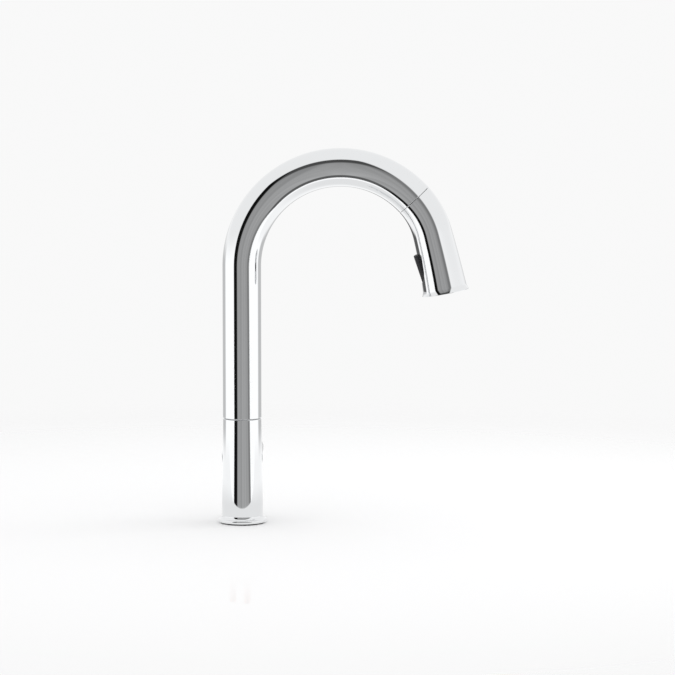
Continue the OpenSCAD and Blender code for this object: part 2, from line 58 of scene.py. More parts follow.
SLOTS = {m["slot"]: m for m in frame["record"]["materials"]}
SUBPARTS = {s["node"]: s["material_slot"] for s in frame["record"]["subparts"]}
JOINTS = {j["name"]: j for j in frame["joints"]}
BODY_OF = {n: b for b, nodes in frame["record"]["behaviour"]["bodies"].items() for n in nodes}


def box(node):
    """Lowest and highest corner of a CAD node, in millimetres."""
    low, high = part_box(node)
    return Vector(low) / MM, Vector(high) / MM


# ---------------------------------------------------------------- mesh helpers

def mesh_object(name, points, faces, node=None, body=None, material=None, smooth=True, rides=True):
    """One piece from points in millimetres. It rides on the body of the CAD node it stands for."""
    mesh = bpy.data.meshes.new(name)
    mesh.from_pydata([tuple(Vector(p) * MM) for p in points], [], faces)
    mesh.validate()
    bm = bmesh.new()
    bm.from_mesh(mesh)
    bmesh.ops.remove_doubles(bm, verts=bm.verts, dist=1e-7)
    bmesh.ops.recalc_face_normals(bm, faces=bm.faces)
    for face in bm.faces:
        face.smooth = smooth
    bm.to_mesh(mesh)
    bm.free()
    piece = bpy.data.objects.new(name, mesh)
    bpy.context.scene.collection.objects.link(piece)
    slot_name = material or SUBPARTS[node]
    mesh.materials.append(MATERIALS[slot_name])
    if rides:
        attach(piece, body or BODY_OF[node])
    if node:
        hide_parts(node)
    return piece


def strip(rings, closed_rings=True, closed_strip=False):
    """Quads between neighbouring rings, which all have the same number of points."""
    count = len(rings[0])
    around = count if closed_rings else count - 1
    last = len(rings) if closed_strip else len(rings) - 1
    faces = []
    for i in range(last):
        j = (i + 1) % len(rings)
        for k in range(around):
            m = (k + 1) % count
            faces.append((i * count + k, i * count + m, j * count + m, j * count + k))
    return [p for ring in rings for p in ring], faces


def cap(points, faces, ring_index, count, centre, flip=False):
    """Closes a ring with a fan to a centre point."""
    points.append(centre)
    middle = len(points) - 1
    for k in range(count):
        m = (k + 1) % count
        a, b = ring_index * count + k, ring_index * count + m
        faces.append((b, a, middle) if flip else (a, b, middle))


def soften(corners, radii, steps=5):
    """Outline with each corner rounded, and a point just beyond each arc to keep the flats flat."""
    result = []
    count = len(corners)
    for i, corner in enumerate(corners):
        here = Vector(corner)
        radius = radii[i] if isinstance(radii, (list, tuple)) else radii
        if radius <= 0:
            result.append(here)
            continue
        back = Vector(corners[i - 1]) - here
        ahead = Vector(corners[(i + 1) % count]) - here
        length_back, length_ahead = back.length, ahead.length
        back.normalize()
        ahead.normalize()
        half = math.acos(max(-1, min(1, back.dot(ahead)))) / 2
        if half > math.radians(88):
            result.append(here)
            continue
        reach = min(radius / math.tan(half), 0.48 * length_back, 0.48 * length_ahead)
        true = reach * math.tan(half)
        centre = here + (back + ahead).normalized() * (true / math.sin(half))
        start, end = here + back * reach - centre, here + ahead * reach - centre
        keep = min(0.2 * true, 0.01 * min(length_back, length_ahead))
        result.append(here + back * (reach + keep))
        turn = math.atan2(start.x * end.y - start.y * end.x, start.dot(end))
        for k in range(steps + 1):
            a = turn * k / steps
            result.append(centre + Vector((start.x * math.cos(a) - start.y * math.sin(a),
                                           start.x * math.sin(a) + start.y * math.cos(a))))
        result.append(here + ahead * (reach + keep))
    return result


def place(origin, z_axis, x_axis):
    """Matrix whose Z and X run along the given directions, in millimetres."""
    z = Vector(z_axis).normalized()
    x = Vector(x_axis)
    x = (x - z * x.dot(z)).normalized()
    y = z.cross(x)
    rows = Matrix((x, y, z)).transposed().to_4x4()
    return Matrix.Translation(Vector(origin)) @ rows


def lathe(name, outline, frame_matrix, count=128, node=None, body=None, material=None):
    """Solid of revolution from a closed outline of (radius, height) points."""
    on_axis = [i for i, p in enumerate(outline) if p[0] < 1e-6]
    rings = []
    for r, z in ((p[0], p[1]) for p in outline):
        r = max(r, 1e-5)
        rings.append([frame_matrix @ Vector((r * math.cos(TAU * k / count),
                                             r * math.sin(TAU * k / count), z)) for k in range(count)])
    points, faces = strip(rings, closed_strip=not on_axis)
    return mesh_object(name, points, faces, node, body, material)


# ---------------------------------------------------------------- materials

class Graph:
    """Short way to write a node tree."""

    def __init__(self, tree):
        self.tree = tree
        tree.nodes.clear()

    def node(self, kind, outputs=None, **values):
        made = self.tree.nodes.new(kind)
        for key, value in values.items():
            if hasattr(made, key):
                setattr(made, key, value)
        return made

    def link(self, source, target):
        self.tree.links.new(source, target)

    def put(self, socket, value):
        if isinstance(value, bpy.types.NodeSocket):
            self.link(value, socket)
        else:
            socket.default_value = value

    def math(self, operation, a, b=0.0, c=None):
        made = self.node("ShaderNodeMath", operation=operation)
        self.put(made.inputs[0], a)
        self.put(made.inputs[1], b)
        if c is not None:
            self.put(made.inputs[2], c)
        return made.outputs[0]

    def ramp(self, value, low, high, to_low=0.0, to_high=1.0, smooth=True):
        made = self.node("ShaderNodeMapRange")
        made.interpolation_type = "SMOOTHSTEP" if smooth else "LINEAR"
        for index, number in enumerate((value, low, high, to_low, to_high)):
            self.put(made.inputs[index], number)
        return made.outputs[0]

    def window(self, value, low, high, soft):
        """1 between low and high, falling to 0 over the soft width."""
        up = self.ramp(value, low - soft, low + soft)
        down = self.ramp(value, high - soft, high + soft, 1.0, 0.0)
        return self.math("MULTIPLY", up, down)

    def mix(self, factor, a, b):
        made = self.node("ShaderNodeMix", data_type="RGBA")
        self.put(made.inputs["Factor"], factor)
        for socket, value in ((made.inputs[6], a), (made.inputs[7], b)):
            self.put(socket, value)
        return made.outputs[2]

    def fade(self, factor, a, b):
        """Mixes two shader nodes."""
        made = self.node("ShaderNodeMixShader")
        self.put(made.inputs[0], factor)
        self.link(a.outputs[0], made.inputs[1])
        self.link(b.outputs[0], made.inputs[2])
        return made

    def noise(self, scale, detail=3.0, roughness=0.5, coords=None, distortion=0.0):
        made = self.node("ShaderNodeTexNoise")
        made.inputs["Scale"].default_value = scale
        made.inputs["Detail"].default_value = detail
        made.inputs["Roughness"].default_value = roughness
        made.inputs["Distortion"].default_value = distortion
        if coords is not None:
            self.link(coords, made.inputs["Vector"])
        return made.outputs["Fac"]

    def coords(self, scale=(1, 1, 1), rotation=(0, 0, 0)):
        source = self.node("ShaderNodeTexCoord")
        mapping = self.node("ShaderNodeMapping")
        mapping.inputs["Scale"].default_value = scale
        mapping.inputs["Rotation"].default_value = rotation
        self.link(source.outputs["Object"], mapping.inputs["Vector"])
        return mapping.outputs["Vector"]

    def bump(self, height, strength, distance):
        made = self.node("ShaderNodeBump")
        made.inputs["Strength"].default_value = strength
        made.inputs["Distance"].default_value = distance
        self.link(height, made.inputs["Height"])
        return made.outputs["Normal"]


def rgba(color, factor=1.0):
    return tuple(min(1.0, c * factor) for c in color) + (1.0,)


def new_material(slot_name):
    material = bpy.data.materials.new(slot_name)
    material.use_nodes = True
    g = Graph(material.node_tree)
    shader = g.node("ShaderNodeBsdfPrincipled")
    out = g.node("ShaderNodeOutputMaterial")
    g.link(shader.outputs["BSDF"], out.inputs["Surface"])
    return material, g, shader


def metal(slot_name, rough, spread, grain_scale, stretch=(1, 1, 1), bump=0.0, tint=0.06):
    """Metal whose gloss and tone drift a little, with a fine machining or handling grain."""
    material, g, shader = new_material(slot_name)
    color = SLOTS[slot_name]["base_color"]
    shader.inputs["Metallic"].default_value = 1.0
    drift = g.noise(34.0, 3.0, 0.55, g.coords())
    grain = g.noise(grain_scale, 2.0, 0.6, g.coords(stretch))
    both = g.math("MULTIPLY_ADD", grain, 0.5, g.math("MULTIPLY", drift, 0.5))
    g.link(g.mix(both, rgba(color, 1 - tint), rgba(color, 1 + tint)), shader.inputs["Base Color"])
    g.link(g.ramp(both, 0.25, 0.75, rough - spread, rough + spread), shader.inputs["Roughness"])
    if bump:
        g.link(g.bump(grain, bump, 0.0001), shader.inputs["Normal"])
    return material


def plastic(slot_name, rough, spread, grain_scale, bump, tint=0.08, specular=0.5):
    """Moulded plastic or rubber: a fine sparked grain, with soft drift in tone and gloss."""
    material, g, shader = new_material(slot_name)
    color = SLOTS[slot_name]["base_color"]
    shader.inputs["Specular IOR Level"].default_value = specular
    drift = g.noise(26.0, 4.0, 0.6, g.coords())
    grain = g.noise(grain_scale, 2.0, 0.5, g.coords())
    g.link(g.mix(drift, rgba(color, 1 - tint), rgba(color, 1 + tint)), shader.inputs["Base Color"])
    g.link(g.ramp(drift, 0.3, 0.7, rough - spread, rough + spread), shader.inputs["Roughness"])
    g.link(g.bump(grain, bump, 0.0002), shader.inputs["Normal"])
    return material


def chrome():
    """Mirror chrome plate with the faintest polish haze and a few dried water marks."""
    material, g, shader = new_material("chrome")
    color = SLOTS["chrome"]["base_color"]
    shader.inputs["Metallic"].default_value = 1.0
    haze = g.noise(18.0, 4.0, 0.55, g.coords())
    polish = g.noise(900.0, 2.0, 0.5, g.coords((1, 1, 0.15)))
    marks = g.ramp(g.noise(160.0, 2.0, 0.4, g.coords()), 0.70, 0.78)
    rough = g.math("MULTIPLY_ADD", marks, 0.02, g.ramp(haze, 0.35, 0.7, 0.018, 0.04))
    g.link(g.math("MULTIPLY_ADD", polish, 0.012, rough), shader.inputs["Roughness"])
    g.link(g.mix(haze, rgba(color, 0.985), rgba(color, 1.015)), shader.inputs["Base Color"])
    return material


def braid():
    """Woven nylon sleeve: two sets of strands crossing round the hose near its fitting. Its colour carries painted
    shade, darker in the gaps between the strands and lighter on their crests, over a real fibre grain.
    """
    material, g, shader = new_material("hose_braid")
    color = SLOTS["hose_braid"]["base_color"]
    axis_turn = math.atan2(DOCK_AXIS.x, -DOCK_AXIS.z)
    vector = g.node("ShaderNodeSeparateXYZ")
    mapping = g.coords((1, 1, 1), (0, axis_turn, 0))
    g.link(mapping, vector.inputs[0])
    g_origin = Matrix.Rotation(axis_turn, 3, "Y") @ (DOCK * MM)
    across = g.math("SUBTRACT", vector.outputs["X"], g_origin.x)
    angle = g.math("ARCTAN2", vector.outputs["Y"], across)
    along = vector.outputs["Z"]
    strands = 12.0
    pitch = 5200.0
    one = g.math("SINE", g.math("MULTIPLY_ADD", along, pitch, g.math("MULTIPLY", angle, strands)))
    two = g.math("SINE", g.math("MULTIPLY_ADD", along, -pitch, g.math("MULTIPLY", angle, strands)))
    weave = g.math("MULTIPLY_ADD", g.math("MULTIPLY", one, two), 0.5, 0.5)
    fibre = g.noise(2600.0, 2.0, 0.6, g.coords())
    height = g.math("MULTIPLY_ADD", fibre, 0.25, weave)
    # painted shade: the colour darkens in the gaps between the strands and lightens on their crests, following the
    # weave's height; the fibre noise is real grain
    tone = g.math("MULTIPLY_ADD", weave, 0.7, g.math("MULTIPLY", fibre, 0.3))
    g.link(g.mix(tone, rgba(color, 0.35), rgba(color, 1.35)), shader.inputs["Base Color"])
    g.link(g.ramp(weave, 0.0, 1.0, 0.72, 0.5), shader.inputs["Roughness"])
    shader.inputs["Sheen Weight"].default_value = 0.2
    g.link(g.bump(height, 0.6, 0.0004), shader.inputs["Normal"])
    return material


# ---------------------------------------------------------------- sizes, from the frame

tube_low, tube_high = box("spout_tube")
TUBE_R = tube_high.y
SPOUT_LOW = tube_low.z
TURN = JOINTS["sprayhead_turn"]
DOCK = Vector(TURN["pos_m"]) / MM
DOCK_AXIS = Vector(TURN["axis"]).normalized()
DOCK_ANGLE = math.atan2(DOCK_AXIS.x, -DOCK_AXIS.z)
ARCH_R = DOCK.x / (1 + math.cos(DOCK_ANGLE))
ARCH_Z = DOCK.z - ARCH_R * math.sin(DOCK_ANGLE)
INNER = Vector((-math.cos(DOCK_ANGLE), 0, -math.sin(DOCK_ANGLE)))
TUBE_WALL = 1.65

HUB_AT = Vector(JOINTS["handle_turn"]["pos_m"]) / MM
HUB_Z = HUB_AT.z
PIVOT_Y = HUB_AT.y
hub_low, hub_high = box("handle_hub")
HUB_R = hub_high.x
COLLAR_END = hub_low.y
HUB_FRONT = hub_high.y
DOME_R = 18.0

# the sprayhead's centreline, as in the CAD: a bend, then a slower bend down to the face
BEND_R, BEND = 86.2, math.radians(27.7)
TILT = math.radians(10.7)
HEAD_LEN = 104.3
END_R, LIP_R, LIP_H = 23.4, 24.9, 5.6
HEAD_WALL = 1.9
BEND_LEN = BEND_R * BEND
SLOW_R = (HEAD_LEN - BEND_LEN) / (DOCK_ANGLE - BEND - TILT)
FACE_R = END_R - HEAD_WALL - 0.35
TOGGLE_AT, TOGGLE_LEN, TOGGLE_W, TOGGLE_PROUD = 74.0, 30.0, 24.0, 3.2


def head_angle(s):
    if s < BEND_LEN:
        return DOCK_ANGLE - s / BEND_R
    return DOCK_ANGLE - BEND - (s - BEND_LEN) / SLOW_R


def head_point(s):
    first = min(s, BEND_LEN)
    a = head_angle(first)
    x = DOCK.x + BEND_R * (math.cos(a) - math.cos(DOCK_ANGLE))
    z = DOCK.z - BEND_R * (math.sin(DOCK_ANGLE) - math.sin(a))
    if s > BEND_LEN:
        b = head_angle(s)
        x += SLOW_R * (math.cos(b) - math.cos(DOCK_ANGLE - BEND))
        z -= SLOW_R * (math.sin(DOCK_ANGLE - BEND) - math.sin(b))
    return Vector((x, 0, z))


def head_radius(s):
    return TUBE_R + (END_R - TUBE_R) * (s / HEAD_LEN) ** 2


def flare(s):
    low = HEAD_LEN - LIP_H
    return 0.0 if s < low else (LIP_R - END_R) * ((s - low) / LIP_H) ** 1.8


def head_frame(s):
    """Z down the sprayhead, X towards its inner side."""
    a = head_angle(s)
    return place(head_point(s), (math.sin(a), 0, -math.cos(a)), (-math.cos(a), 0, -math.sin(a)))


MATERIALS = {
    "chrome": chrome(),
    "brass": metal("brass", 0.26, 0.06, 700, (1, 1, 0.2), 0.15),
    "zinc_steel": metal("zinc_steel", 0.34, 0.08, 420, bump=0.2),
    "stainless": metal("stainless", 0.2, 0.05, 1100, (0.2, 0.2, 1), 0.1),
    "copper": metal("copper", 0.28, 0.08, 300, (1, 1, 0.1), 0.1, 0.1),
    "magnet": metal("magnet", 0.22, 0.05, 500),
    "black_rubber": plastic("black_rubber", 0.7, 0.06, 1500, 0.25),
    "nozzle_rubber": plastic("nozzle_rubber", 0.55, 0.08, 1800, 0.15),
    "hose_braid": braid(),
    "black_plastic": plastic("black_plastic", 0.42, 0.06, 2600, 0.2),
    "toggle_black": plastic("toggle_black", 0.55, 0.06, 2400, 0.2, specular=0.12),
    "grey_plastic": plastic("grey_plastic", 0.45, 0.06, 2200, 0.15),
    "face_grey": plastic("face_grey", 0.38, 0.06, 2400, 0.2),
    "white_plastic": plastic("white_plastic", 0.4, 0.06, 2200, 0.12, 0.03),
    "ceramic": plastic("ceramic", 0.12, 0.04, 900, 0.04, 0.03),
}
for name, node_object in frame["nodes"].items():
    node_object.data.materials.clear()
    node_object.data.materials.append(MATERIALS[SUBPARTS[name]])

UP = place((0, 0, 0), (0, 0, 1), (1, 0, 0))
HUB = place((0, 0, HUB_Z), (0, 1, 0), (1, 0, 0))


# ---------------------------------------------------------------- base and body

def base_flange():
    low, high = box("base_flange")
    widest, top, foot = high.x, high.z, low.z
    inner = 16.6
    body_r, cove, bead = 21.7, 3.8, 1.95
    bead_r, bead_z = widest - bead, 3.2
    outline = [(inner, foot), (inner, top - 0.02), (body_r - 0.5, top - 0.02)]
    for k in range(15):
        a = math.radians(180 + 70 * k / 14)
        outline.append((body_r + cove + cove * math.cos(a), top + cove * math.sin(a)))
    for k in range(21):
        a = math.radians(55 - 125 * k / 20)
        outline.append((bead_r + bead * math.cos(a), bead_z + bead * math.sin(a)))
    outline += [(bead_r, foot + 0.02), (bead_r - 0.4, foot)]
    lathe("base_flange_chrome", outline, UP, 160, "base_flange")


def body_column():
    low, high = box("body_shell")
    foot, top = low.z, high.z
    low_r, top_r = 21.65, 20.05
    corners = [(low_r, foot), (low_r, 20), (top_r, top), (14.2, top), (14.2, top - 11),
               (17.5, top - 12), (17.5, 20.5), (16.2, 20.0), (16.2, foot)]
    outline = soften(corners, [0.15, 12, 0.5, 0.3, 0, 0, 0, 0, 0.1], 8)
    count = len(outline)
    dense = []
    for i, p in enumerate(outline):
        q = outline[(i + 1) % count]
        parts = max(1, int((Vector(q) - Vector(p)).length / 6))
        for k in range(parts):
            dense.append(Vector(p).lerp(Vector(q), k / parts))
    lathe("body_column", dense, UP, 160, "body_shell")


def handle_boss():
    """The short horizontal barrel on the body's +Y side that carries the handle."""
    edge = 1.1
    wall = HUB_R - DOME_R - 0.2
    count = 160
    body_r = 20.6

    def boss_radius(y):
        if y >= edge:
            return HUB_R
        return HUB_R - edge + math.sqrt(max(0, edge ** 2 - (edge - y) ** 2))

    rings = []
    steps = 6
    starts = []
    for k in range(count):
        a = TAU * k / count
        y = 0.0
        while y < 21 and (boss_radius(y) * math.cos(a)) ** 2 + y * y < body_r ** 2:
            y += 0.05
        starts.append(y)
    for i in range(steps + 1):
        ring = []
        for k in range(count):
            a = TAU * k / count
            y0 = max(0.0, starts[k] - 0.6)
            y = y0 + (edge * 1.02 - y0) * i / steps if y0 < edge else y0 + 0.15 * i
            r = boss_radius(y)
            ring.append(Vector((r * math.cos(a), y, HUB_Z + r * math.sin(a))))
        rings.append(ring)
    rim = soften([(HUB_R, 24), (HUB_R, COLLAR_END - 0.05), (HUB_R - wall, COLLAR_END - 0.05),
                  (HUB_R - wall, 22)], [0, 0.5, 0.4, 0], 6)
    for r, y in rim:
        rings.append([Vector((r * math.cos(TAU * k / count), y, HUB_Z + r * math.sin(TAU * k / count)))
                      for k in range(count)])
    inner_end = [Vector(((HUB_R - wall) * math.cos(TAU * k / count),
                         max(0.0, starts[k] - 0.7) + 0.3 if starts[k] < 20 else 20,
                         HUB_Z + (HUB_R - wall) * math.sin(TAU * k / count))) for k in range(count)]
    rings.append(inner_end)
    points, faces = strip(rings, closed_strip=True)
    mesh_object("handle_boss", points, faces, None, "base", "chrome")


def bonnet_dome():
    inner, opening = DOME_R - 1.3, 8.8
    steps = 40
    start = 31.2 - PIVOT_Y
    low_angle, high_angle = math.asin(start / DOME_R), math.acos(opening / DOME_R)
    outline = []
    for k in range(steps + 1):
        a = low_angle + (high_angle - low_angle) * k / steps
        outline.append((DOME_R * math.cos(a), PIVOT_Y + DOME_R * math.sin(a)))
    low_in, high_in = math.asin(start / inner), math.acos((opening + 0.1) / inner)
    for k in range(steps + 1):
        a = high_in + (low_in - high_in) * k / steps
        outline.append((inner * math.cos(a), PIVOT_Y + inner * math.sin(a)))
    lathe("bonnet_dome_chrome", outline, HUB, 128, "bonnet_dome")


def deck_gasket():
    low, high = box("deck_gasket")
    outline = soften([(16.6, low.z), (high.x, low.z), (high.x, high.z), (16.6, high.z)], 0.25, 4)
    lathe("deck_gasket_rubber", outline, UP, 128, "deck_gasket")


def thrust_ring():
    low, high = box("thrust_washer")
    outline = soften([(14.3, low.z), (high.x, low.z), (high.x, high.z), (14.3, high.z)], 0.12, 3)
    lathe("thrust_ring", outline, UP, 128, "thrust_washer")


def threaded_shank():
    low, high = box("threaded_shank")
    major, bore = high.x, 13.6
    depth, pitch = 0.85, 1.5
    thread_top = -20.0
    count, per_turn = 96, 8
    rings = []
    rows = int((thread_top - low.z) / pitch * per_turn)
    for i in range(rows + 1):
        z = low.z + (thread_top - low.z) * i / rows
        fade = min(1.0, (z - low.z) / 1.5, (thread_top - z) / 1.5)
        ring = []
        for k in range(count):
            phase = (z / pitch - k / count) % 1.0
            wave = abs(2 * phase - 1)
            crest = min(1.0, max(0.0, (wave - 0.12) / 0.76))
            r = major - depth * (1 - crest * max(0.0, fade))
            a = TAU * k / count
            ring.append(Vector((r * math.cos(a), r * math.sin(a), z)))
        rings.append(ring)
    upper = major - 0.5
    plain = [(major - depth, thread_top + 0.2), (upper, thread_top + 0.8), (upper, high.z - 0.4),
             (upper - 0.4, high.z), (bore + 0.4, high.z), (bore, high.z - 0.4), (bore, low.z + 0.5),
             (bore + 0.5, low.z)]
    for r, z in plain:
        rings.append([Vector((r * math.cos(TAU * k / count), r * math.sin(TAU * k / count), z))
                      for k in range(count)])
    points, faces = strip(rings, closed_strip=True)
    mesh_object("threaded_shank_brass", points, faces, "threaded_shank")


# ---------------------------------------------------------------- handle

def handle_hub():
    """Round hub whose back is cut on a slant round a hollow that clears the dome."""
    count = 160
    slope = math.tan(math.radians(13.9))
    back_y = COLLAR_END + 0.6
    hollow_r = DOME_R + 0.6
    pivot = Vector((0, PIVOT_Y, HUB_Z))
    tilt = math.radians(13.9)
    normal = Vector((0, math.cos(tilt), math.sin(tilt)))
    top_edge = Vector((0, back_y, HUB_Z + HUB_R))
    depth = (top_edge - pivot).dot(normal)
    circle_r = math.sqrt(hollow_r ** 2 - depth ** 2)
    circle_c = pivot + normal * depth
    down = Vector((0, math.sin(tilt), -math.cos(tilt)))

    def wall_ring(r, shift):
        """Ring at radius r on a plane parallel to the slanted back."""
        ring = []
        for k in range(count):
            a = TAU * k / count
            x, z = r * math.cos(a), r * math.sin(a)
            ring.append(Vector((x, back_y + (HUB_R - z) * slope + shift, HUB_Z + z)))
        return ring

    rings = []
    for k in range(25):
        a = (math.pi / 2) * k / 24
        depth_in = hollow_r * math.cos(a)
        if depth_in < depth:
            continue
        radius = hollow_r * math.sin(a)
        centre = pivot + normal * depth_in
        rings.append([centre + Vector((1, 0, 0)) * max(radius, 1e-4) * math.cos(TAU * m / count)
                      - down * max(radius, 1e-4) * math.sin(TAU * m / count) for m in range(count)])
    rings.append([circle_c + Vector((1, 0, 0)) * circle_r * math.cos(TAU * m / count)
                  - down * circle_r * math.sin(TAU * m / count) for m in range(count)])
    edge = 0.45
    inner_edge = rings[-1]
    outer_edge = wall_ring(HUB_R - edge, 0)
    for t in (0.03, 0.5, 0.97):
        rings.append([p.lerp(q, t) for p, q in zip(inner_edge, outer_edge)])
    for k in range(7):
        a = (math.pi / 2) * k / 6
        rings.append(wall_ring(HUB_R - edge + edge * math.sin(a), edge * (1 - math.cos(a))))
    straight = HUB_FRONT - 4.0
    base_ring = rings[-1]
    for t in (0.01, 0.25, 0.5, 0.75, 0.99):
        ring = []
        for p in base_ring:
            ring.append(Vector((p.x, p.y + (straight - p.y) * t, p.z)))
        rings.append(ring)
    round_r, crown = 3.0, 1.0
    flat_r = HUB_R - round_r
    for k in range(11):
        a = (math.pi / 2) * k / 10
        r = flat_r + round_r * math.cos(a)
        y = HUB_FRONT - crown - round_r + round_r * math.sin(a)
        rings.append([Vector((r * math.cos(TAU * m / count), y, HUB_Z + r * math.sin(TAU * m / count)))
                      for m in range(count)])
    for k in range(1, 13):
        r = flat_r * (1 - k / 12)
        y = HUB_FRONT - crown * (r / flat_r) ** 2
        r = max(r, 1e-4)
        rings.append([Vector((r * math.cos(TAU * m / count), y, HUB_Z + r * math.sin(TAU * m / count)))
                      for m in range(count)])
    points, faces = strip(rings)
    mesh_object("handle_hub_chrome", points, faces, "handle_hub")


def handle_lever():
    lean = math.radians(8)
    root = Vector((0, PIVOT_Y + 18, HUB_Z))
    along = Vector((0, math.sin(lean), math.cos(lean)))
    matrix = place(root, along, (1, 0, 0))
    top = HUB_R + 98
    root_r, tip_r = 4.8, 3.7
    outline = [(1e-5, 18.3), (root_r - 0.4, 18.3), (root_r, 18.7)]
    for k in range(13):
        t = k / 12
        outline.append((root_r + (tip_r - root_r) * t ** 1.1, 22 + (top - tip_r - 22) * t))
    for k in range(1, 13):
        a = (math.pi / 2) * k / 12
        outline.append((tip_r * math.cos(a) if k < 12 else 1e-5, top - tip_r + tip_r * math.sin(a)))
    lathe("handle_lever_chrome", outline, matrix, 96, "handle_lever")


# ---------------------------------------------------------------- spout

def arch_point(angle, u, v):
    """Point of the arch at an angle about its centre, u outwards and v along Y from the tube's centre."""
    r = ARCH_R + u
    return Vector((ARCH_R + r * math.cos(angle), v, ARCH_Z + r * math.sin(angle)))


def spout_tube():
    count = 144
    inner_r = TUBE_R - TUBE_WALL
    edge = 0.5

    def riser_ring(r, z):
        turns = [TAU * k / count for k in range(count)]
        return [Vector((-r * math.cos(turn), r * math.sin(turn), z)) for turn in turns]

    def arch_ring(r, angle):
        return [arch_point(angle, r * math.cos(TAU * k / count), r * math.sin(TAU * k / count))
                for k in range(count)]

    rings = []
    for k in range(7):
        a = (math.pi / 2) * k / 6
        rings.append(riser_ring(TUBE_R - edge + edge * math.sin(a), SPOUT_LOW + edge * (1 - math.cos(a))))
    for z in (0.7, 8, 20, 40, 60, 80, 100, 120, 140, 150):
        rings.append(riser_ring(TUBE_R, SPOUT_LOW + z))
    steps = 150
    tip_edge = 0.35
    tip_turn = tip_edge / ARCH_R
    for i in range(steps + 1):
        angle = math.pi + (DOCK_ANGLE + tip_turn * 1.3 - math.pi) * i / steps
        rings.append(arch_ring(TUBE_R, angle))
    for k in range(6):
        a = (math.pi / 2) * k / 5
        rings.append(arch_ring(TUBE_R - tip_edge + tip_edge * math.cos(a),
                               DOCK_ANGLE + tip_turn * (1 - math.sin(a))))
    rings.append(arch_ring(inner_r + 0.15, DOCK_ANGLE))
    rings.append(arch_ring(inner_r, DOCK_ANGLE + 0.15 / ARCH_R))
    for i in range(1, 41):
        angle = DOCK_ANGLE + (math.pi - DOCK_ANGLE) * i / 40
        rings.append(arch_ring(inner_r, angle))
    rings.append(riser_ring(inner_r, SPOUT_LOW + 60))
    rings.append(riser_ring(inner_r, SPOUT_LOW))
    points, faces = strip(rings, closed_strip=True)
    mesh_object("spout_tube_chrome", points, faces, "spout_tube")


def pull_down_hose():
    """The hose along its route, with close rings near the fitting where it stretches out of the spout."""
    route = [(0, -48), (0, -20), (0, 20), (0, 60), (0, 100), (0, 150), (2, 180), (4, 210), (7, 240), (10, 265),
             (12, 285), (18, 305), (28, 325.2), (40, 342.2), (55, 356.7), (70, 367.2), (85, 373.7), (100, 377),
             (116, 377.8), (134, 375.4), (150.5, 368.2), (160, 362.7), (166.9, 355.4)]
    hose_r, count = 6.1, 32
    last = len(route) - 1

    def curve(u):
        i = min(int(u), last - 1)
        t = u - i
        p = [Vector(route[max(0, min(last, j))]) for j in (i - 1, i, i + 1, i + 2)]
        return 0.5 * (2 * p[1] + (p[2] - p[0]) * t + (2 * p[0] - 5 * p[1] + 4 * p[2] - p[3]) * t * t
                      + (3 * p[1] - p[0] - 3 * p[2] + p[3]) * t ** 3)

    def stretch(name, stations, rides):
        rings = []
        for u in stations:
            here = curve(u)
            ahead = curve(min(u + 0.02, last)) - curve(max(u - 0.02, 0))
            ahead.normalize()
            rings.append([Vector((here.x - hose_r * math.cos(TAU * k / count) * ahead.y,
                                  hose_r * math.sin(TAU * k / count),
                                  here.y + hose_r * math.cos(TAU * k / count) * ahead.x))
                          for k in range(count)])
        points, faces = strip(rings)
        for index, flip in ((0, True), (len(rings) - 1, False)):
            centre = curve(stations[index])
            cap(points, faces, index, count, Vector((centre.x, 0, centre.y)), flip)
        return mesh_object(name, points, faces, "pull_down_hose", rides=rides)

    # the riser's stretch stays with the spout, because the blend would carry it along with the sprayhead
    split, close_from = 13, last - 3
    stretch("pull_down_hose_riser", [i / 4 for i in range(split * 4 + 1)], True)
    over_arch = [i / 4 for i in range(split * 4, close_from * 4)]
    at_dock = [close_from + i / 40 for i in range(3 * 40 + 1)]
    hose = stretch("pull_down_hose_braided", over_arch + at_dock, False)
    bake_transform(hose)


# ---------------------------------------------------------------- sprayhead

def toggle_outline(grow, steps=24):
    """The toggle's outline as (along, across): along runs down the sprayhead, half round at the lower end."""
    half = TOGGLE_W / 2
    corner = 2.0
    top, low = -TOGGLE_LEN / 2, TOGGLE_LEN / 2 - half
    points = []
    for k in range(steps + 1):
        a = -math.pi / 2 + math.pi * k / steps
        points.append(Vector((low + (half + grow) * math.cos(a), (half + grow) * math.sin(a))))
    for side in (1, -1):
        start = 0 if side > 0 else math.pi / 2
        for k in range(7):
            a = start + (math.pi / 2) * k / 6
            direction = Vector((-math.sin(a), math.cos(a)))
            centre = Vector((top + corner, side * (half - corner)))
            points.append(centre + direction * (corner + grow))
    dense = []
    for p, q in zip(points, points[1:] + points[:1]):
        parts = max(1, int((q - p).length / 1.2))
        dense += [p.lerp(q, k / parts) for k in range(parts)]
    return dense


def outline_distance(a, y, grow=0.0):
    """Signed distance from the toggle's outline, below 0 inside."""
    half = TOGGLE_W / 2
    corner = 2.0
    top, low = -TOGGLE_LEN / 2, TOGGLE_LEN / 2 - half
    if a > low:
        return math.hypot(a - low, y) - half - grow
    qx, qy = top + corner - a, abs(y) - (half - corner)
    if qx > 0 and qy > 0:
        return math.hypot(qx, qy) - corner - grow
    return max(qx, qy) - corner - grow


